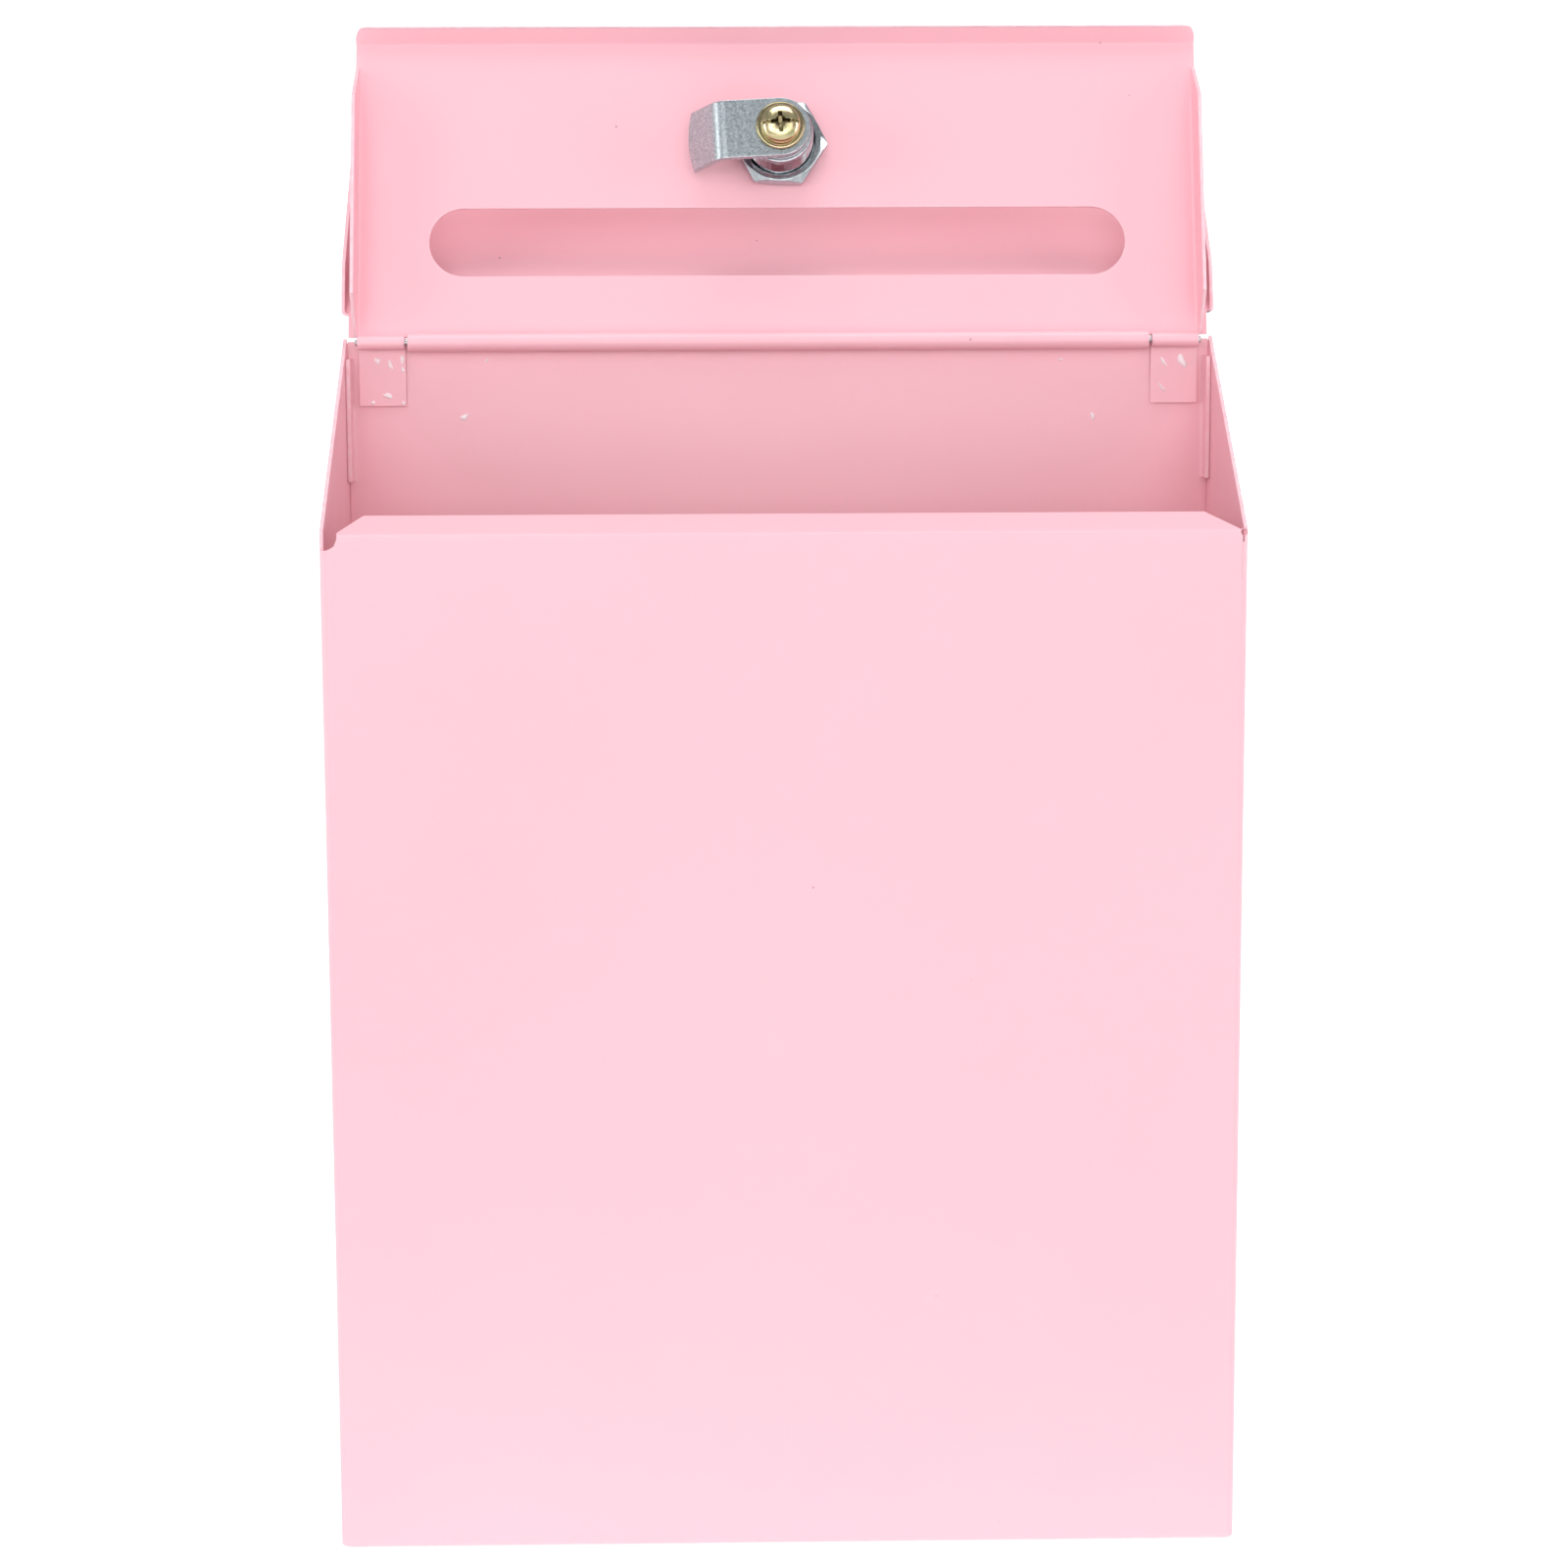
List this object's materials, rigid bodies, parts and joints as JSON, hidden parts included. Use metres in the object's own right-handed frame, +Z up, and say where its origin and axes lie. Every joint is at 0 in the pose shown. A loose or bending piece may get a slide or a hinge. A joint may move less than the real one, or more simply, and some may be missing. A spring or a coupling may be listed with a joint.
{
  "type": "donation box",
  "caption": "Wall-mounted donation box of folded sheet steel, with a sloping hinged lid, a letter slot under a rain hood and a cam lock.",
  "frame": {"origin": "middle of the underside of the bottom panel", "axes": "+Z up, -Y out of the front, +X to the viewer's right when the front is seen"},
  "size_m": [0.2412, 0.1145, 0.4057],
  "materials": {
    "pink_powder_coat": "satin",
    "pin_steel": "satin",
    "zinc_plate": "satin",
    "yellow_zinc": "gloss",
    "lock_brass": "satin",
    "spring_steel": "satin"
  },
  "bodies": {
    "box": {"front_and_sides": "pink_powder_coat", "back_panel": "pink_powder_coat", "bottom_panel": "pink_powder_coat", "hinge_tab_left": "pink_powder_coat", "hinge_tab_right": "pink_powder_coat", "hinge_pin": "pin_steel"},
    "lid": {"lid_panel": "pink_powder_coat", "hood": "pink_powder_coat", "lock_housing": "zinc_plate", "lock_nut": "zinc_plate"},
    "lock_cam": {"lock_plug": "lock_brass", "stop_washer": "zinc_plate", "cam_plate": "zinc_plate", "cam_washer": "yellow_zinc", "cam_screw": "yellow_zinc", "wafer_spring_1": "spring_steel", "wafer_spring_2": "spring_steel", "wafer_spring_3": "spring_steel", "wafer_spring_4": "spring_steel", "wafer_spring_5": "spring_steel"},
    "wafer_1_body": {"wafer_1": "lock_brass"},
    "wafer_2_body": {"wafer_2": "lock_brass"},
    "wafer_3_body": {"wafer_3": "lock_brass"},
    "wafer_4_body": {"wafer_4": "lock_brass"},
    "wafer_5_body": {"wafer_5": "lock_brass"}
  },
  "joints": [
    {"name": "lid_hinge", "type": "hinge", "parent": "box", "child": "lid", "pos_m": [0, 0.0327, 0.319], "axis": [1, 0, 0], "range_deg": [0, 142.56]},
    {"name": "cam_turn", "type": "hinge", "parent": "lid", "child": "lock_cam", "pos_m": [0.0007, 0.04922, 0.37303], "axis": [0, 0.9563, -0.2924], "range_deg": [0, 90]},
    {"name": "wafer_1_slide", "type": "slide", "parent": "lock_cam", "child": "wafer_1_body", "axis": [-1, 0, 0], "range_m": [0, 0.0009], "stiffness_N_per_m": 60, "deforming": ["wafer_spring_1"]},
    {"name": "wafer_2_slide", "type": "slide", "parent": "lock_cam", "child": "wafer_2_body", "axis": [-1, 0, 0], "range_m": [0, 0.0009], "stiffness_N_per_m": 60, "deforming": ["wafer_spring_2"]},
    {"name": "wafer_3_slide", "type": "slide", "parent": "lock_cam", "child": "wafer_3_body", "axis": [-1, 0, 0], "range_m": [0, 0.0009], "stiffness_N_per_m": 60, "deforming": ["wafer_spring_3"]},
    {"name": "wafer_4_slide", "type": "slide", "parent": "lock_cam", "child": "wafer_4_body", "axis": [-1, 0, 0], "range_m": [0, 0.0009], "stiffness_N_per_m": 60, "deforming": ["wafer_spring_4"]},
    {"name": "wafer_5_slide", "type": "slide", "parent": "lock_cam", "child": "wafer_5_body", "axis": [-1, 0, 0], "range_m": [0, 0.0009], "stiffness_N_per_m": 60, "deforming": ["wafer_spring_5"]}
  ]
}
